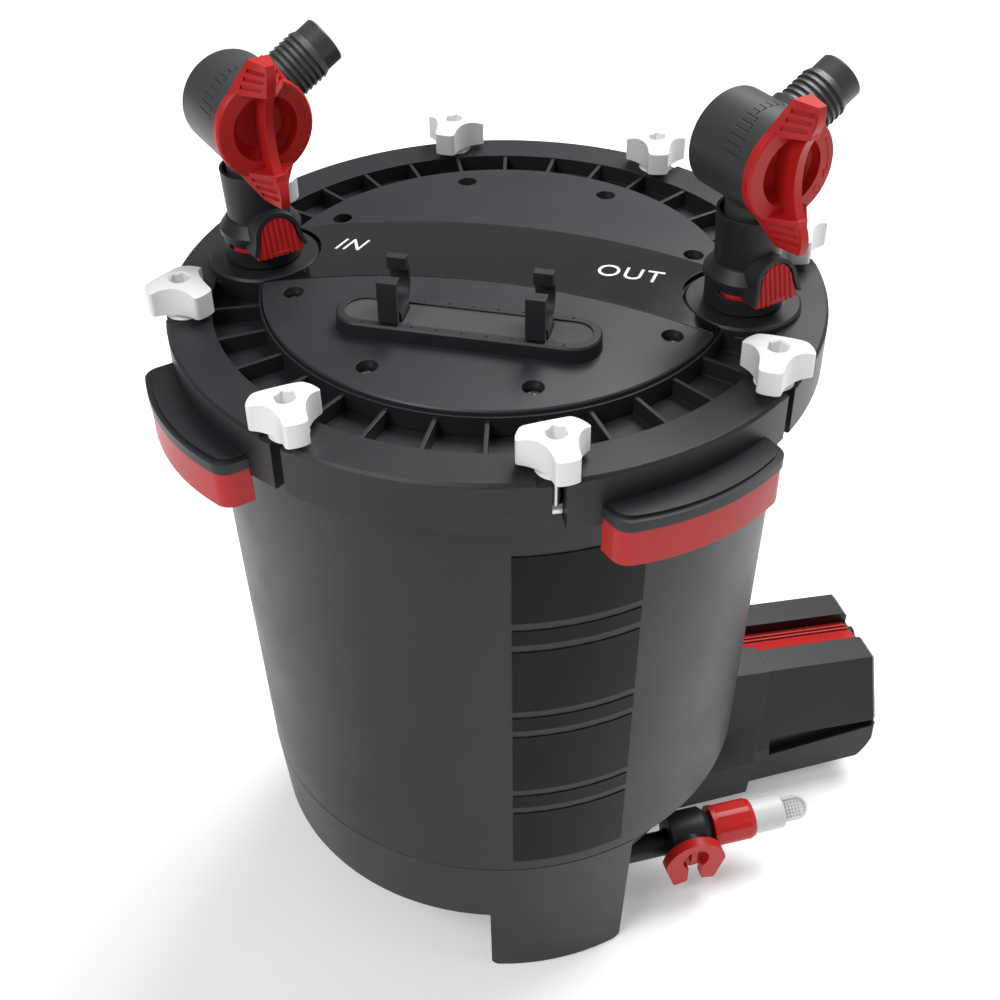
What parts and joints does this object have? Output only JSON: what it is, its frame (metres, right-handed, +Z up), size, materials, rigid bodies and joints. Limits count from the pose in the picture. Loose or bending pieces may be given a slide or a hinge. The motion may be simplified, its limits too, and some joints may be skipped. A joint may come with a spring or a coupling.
{
  "type": "canister filter",
  "caption": "External aquarium canister filter: round tank with clamped lid, two quick-release shut-off valves with hose tails, side pump motor, purge valve and handles.",
  "frame": {"origin": "on the canister's axis, at floor level under its rubber feet", "axes": "+Z up along the canister's axis, -Y towards the front between the handles, +X towards the outlet valve"},
  "size_m": [0.4148, 0.34, 0.5256],
  "materials": {
    "charcoal_plastic": "fine satin moulded texture",
    "cover_plastic": "fine satin moulded texture",
    "gloss_black": "polished",
    "red_plastic": "satin",
    "white_plastic": "satin",
    "grey_plastic": "satin",
    "smoke_insert": "polished",
    "steel": "turned stainless",
    "rubber_black": "matt",
    "foam_black": "open-cell foam",
    "media_tray": "moulded",
    "rotor": "moulded over a magnet",
    "copper_coil": "varnished winding block",
    "ceramic": "ground ceramic"
  },
  "bodies": {
    "tank": {"canister_body": "charcoal_plastic", "base_skirt": "charcoal_plastic", "rubber_feet": "rubber_black", "handle_grips": "charcoal_plastic", "handle_bands": "red_plastic", "side_panel": "gloss_black", "lid": "charcoal_plastic", "lid_seal": "rubber_black", "cover_plate": "cover_plastic", "badge_band": "gloss_black", "cover_screws": "steel", "clip_tray": "charcoal_plastic", "tray_insert": "smoke_insert", "hose_clips": "charcoal_plastic", "intake_screen": "media_tray", "riser_tube": "media_tray", "media_baskets": "media_tray", "basket_foams": "foam_black", "basket_covers": "media_tray", "lift_bars": "red_plastic", "basket_stand": "media_tray", "motor_case": "charcoal_plastic", "motor_strip": "red_plastic", "motor_bracket": "charcoal_plastic", "motor_stator": "copper_coil", "motor_seal": "rubber_black", "impeller_cover": "media_tray", "impeller_shaft": "ceramic", "cable_gland": "rubber_black", "purge_body": "charcoal_plastic"},
    "in_valve": {"in_valve_socket": "charcoal_plastic", "in_valve_barrel": "charcoal_plastic"},
    "in_lever": {"in_valve_lever": "red_plastic", "in_valve_ball": "charcoal_plastic"},
    "in_release": {"in_release_button": "red_plastic"},
    "out_valve": {"out_valve_socket": "charcoal_plastic", "out_valve_barrel": "charcoal_plastic"},
    "out_lever": {"out_valve_lever": "red_plastic", "out_valve_ball": "charcoal_plastic"},
    "out_release": {"out_release_button": "red_plastic"},
    "bolt_1": {"swing_bolt_1": "steel"},
    "nut_1": {"knob_1": "white_plastic"},
    "bolt_2": {"swing_bolt_2": "steel"},
    "nut_2": {"knob_2": "white_plastic"},
    "bolt_3": {"swing_bolt_3": "steel"},
    "nut_3": {"knob_3": "white_plastic"},
    "bolt_4": {"swing_bolt_4": "steel"},
    "nut_4": {"knob_4": "white_plastic"},
    "bolt_5": {"swing_bolt_5": "steel"},
    "nut_5": {"knob_5": "white_plastic"},
    "bolt_6": {"swing_bolt_6": "steel"},
    "nut_6": {"knob_6": "white_plastic"},
    "bolt_7": {"swing_bolt_7": "steel"},
    "nut_7": {"knob_7": "white_plastic"},
    "bolt_8": {"swing_bolt_8": "steel"},
    "nut_8": {"knob_8": "white_plastic"},
    "rotor": {"impeller": "rotor"},
    "purge_handle": {"purge_lever": "red_plastic"},
    "purge_union": {"purge_nut": "red_plastic"},
    "purge_plug": {"purge_cap": "grey_plastic"}
  },
  "joints": [
    {"name": "in_valve_lift", "type": "slide", "parent": "tank", "child": "in_valve", "axis": [0, 0, 1], "range_m": [0, 0.03]},
    {"name": "in_lever_turn", "type": "hinge", "parent": "in_valve", "child": "in_lever", "pos_m": [-0.1265, -0.003, 0.488], "axis": [0.7071, -0.7071, 0], "range_deg": [0, 90]},
    {"name": "in_release_press", "type": "slide", "parent": "in_valve", "child": "in_release", "axis": [-0.7071, 0.7071, 0], "range_m": [0, 0.004], "stiffness_N_per_m": 300, "springref_m": -0.003},
    {"name": "out_valve_lift", "type": "slide", "parent": "tank", "child": "out_valve", "axis": [0, 0, 1], "range_m": [0, 0.03]},
    {"name": "out_lever_turn", "type": "hinge", "parent": "out_valve", "child": "out_lever", "pos_m": [0.1265, 0.0035, 0.488], "axis": [0.7071, -0.7071, 0], "range_deg": [0, 90]},
    {"name": "out_release_press", "type": "slide", "parent": "out_valve", "child": "out_release", "axis": [-0.7071, 0.7071, 0], "range_m": [0, 0.004], "stiffness_N_per_m": 300, "springref_m": -0.003},
    {"name": "bolt_swing_1", "type": "hinge", "parent": "tank", "child": "bolt_1", "pos_m": [0.06123, -0.14782, 0.38315], "axis": [0.9239, 0.3827, 0], "range_deg": [0, 120]},
    {"name": "knob_turn_1", "type": "hinge", "parent": "bolt_1", "child": "nut_1", "pos_m": [0.06123, -0.14782, 0.405], "axis": [0, 0, 1], "range_deg": [0, 1080]},
    {"name": "bolt_swing_2", "type": "hinge", "parent": "tank", "child": "bolt_2", "pos_m": [0.14782, -0.06123, 0.38315], "axis": [0.3827, 0.9239, 0], "range_deg": [0, 120]},
    {"name": "knob_turn_2", "type": "hinge", "parent": "bolt_2", "child": "nut_2", "pos_m": [0.14782, -0.06123, 0.405], "axis": [0, 0, 1], "range_deg": [0, 1080]},
    {"name": "bolt_swing_3", "type": "hinge", "parent": "tank", "child": "bolt_3", "pos_m": [0.14782, 0.06123, 0.38315], "axis": [-0.3827, 0.9239, 0], "range_deg": [0, 120]},
    {"name": "knob_turn_3", "type": "hinge", "parent": "bolt_3", "child": "nut_3", "pos_m": [0.14782, 0.06123, 0.405], "axis": [0, 0, 1], "range_deg": [0, 1080]},
    {"name": "bolt_swing_4", "type": "hinge", "parent": "tank", "child": "bolt_4", "pos_m": [0.06123, 0.14782, 0.38315], "axis": [-0.9239, 0.3827, 0], "range_deg": [0, 120]},
    {"name": "knob_turn_4", "type": "hinge", "parent": "bolt_4", "child": "nut_4", "pos_m": [0.06123, 0.14782, 0.405], "axis": [0, 0, 1], "range_deg": [0, 1080]},
    {"name": "bolt_swing_5", "type": "hinge", "parent": "tank", "child": "bolt_5", "pos_m": [-0.06123, 0.14782, 0.38315], "axis": [-0.9239, -0.3827, 0], "range_deg": [0, 120]},
    {"name": "knob_turn_5", "type": "hinge", "parent": "bolt_5", "child": "nut_5", "pos_m": [-0.06123, 0.14782, 0.405], "axis": [0, 0, 1], "range_deg": [0, 1080]},
    {"name": "bolt_swing_6", "type": "hinge", "parent": "tank", "child": "bolt_6", "pos_m": [-0.14782, 0.06123, 0.38315], "axis": [-0.3827, -0.9239, 0], "range_deg": [0, 120]},
    {"name": "knob_turn_6", "type": "hinge", "parent": "bolt_6", "child": "nut_6", "pos_m": [-0.14782, 0.06123, 0.405], "axis": [0, 0, 1], "range_deg": [0, 1080]},
    {"name": "bolt_swing_7", "type": "hinge", "parent": "tank", "child": "bolt_7", "pos_m": [-0.14782, -0.06123, 0.38315], "axis": [0.3827, -0.9239, 0], "range_deg": [0, 120]},
    {"name": "knob_turn_7", "type": "hinge", "parent": "bolt_7", "child": "nut_7", "pos_m": [-0.14782, -0.06123, 0.405], "axis": [0, 0, 1], "range_deg": [0, 1080]},
    {"name": "bolt_swing_8", "type": "hinge", "parent": "tank", "child": "bolt_8", "pos_m": [-0.06123, -0.14782, 0.38315], "axis": [0.9239, -0.3827, 0], "range_deg": [0, 120]},
    {"name": "knob_turn_8", "type": "hinge", "parent": "bolt_8", "child": "nut_8", "pos_m": [-0.06123, -0.14782, 0.405], "axis": [0, 0, 1], "range_deg": [0, 1080]},
    {"name": "impeller_spin", "type": "hinge", "parent": "tank", "child": "rotor", "pos_m": [0.12361, 0.06573, 0.05], "axis": [0.8829, 0.4695, 0], "continuous": true},
    {"name": "purge_lever_turn", "type": "hinge", "parent": "tank", "child": "purge_handle", "pos_m": [0.12856, -0.04263, 0.039], "axis": [0.4695, -0.8829, 0], "range_deg": [0, 90]},
    {"name": "purge_nut_turn", "type": "hinge", "parent": "tank", "child": "purge_union", "pos_m": [0.15196, -0.03019, 0.039], "axis": [0.8829, 0.4695, 0], "range_deg": [0, 1080]},
    {"name": "purge_cap_pull", "type": "slide", "parent": "tank", "child": "purge_plug", "axis": [0.8829, 0.4695, 0], "range_m": [0, 0.03]}
  ]
}
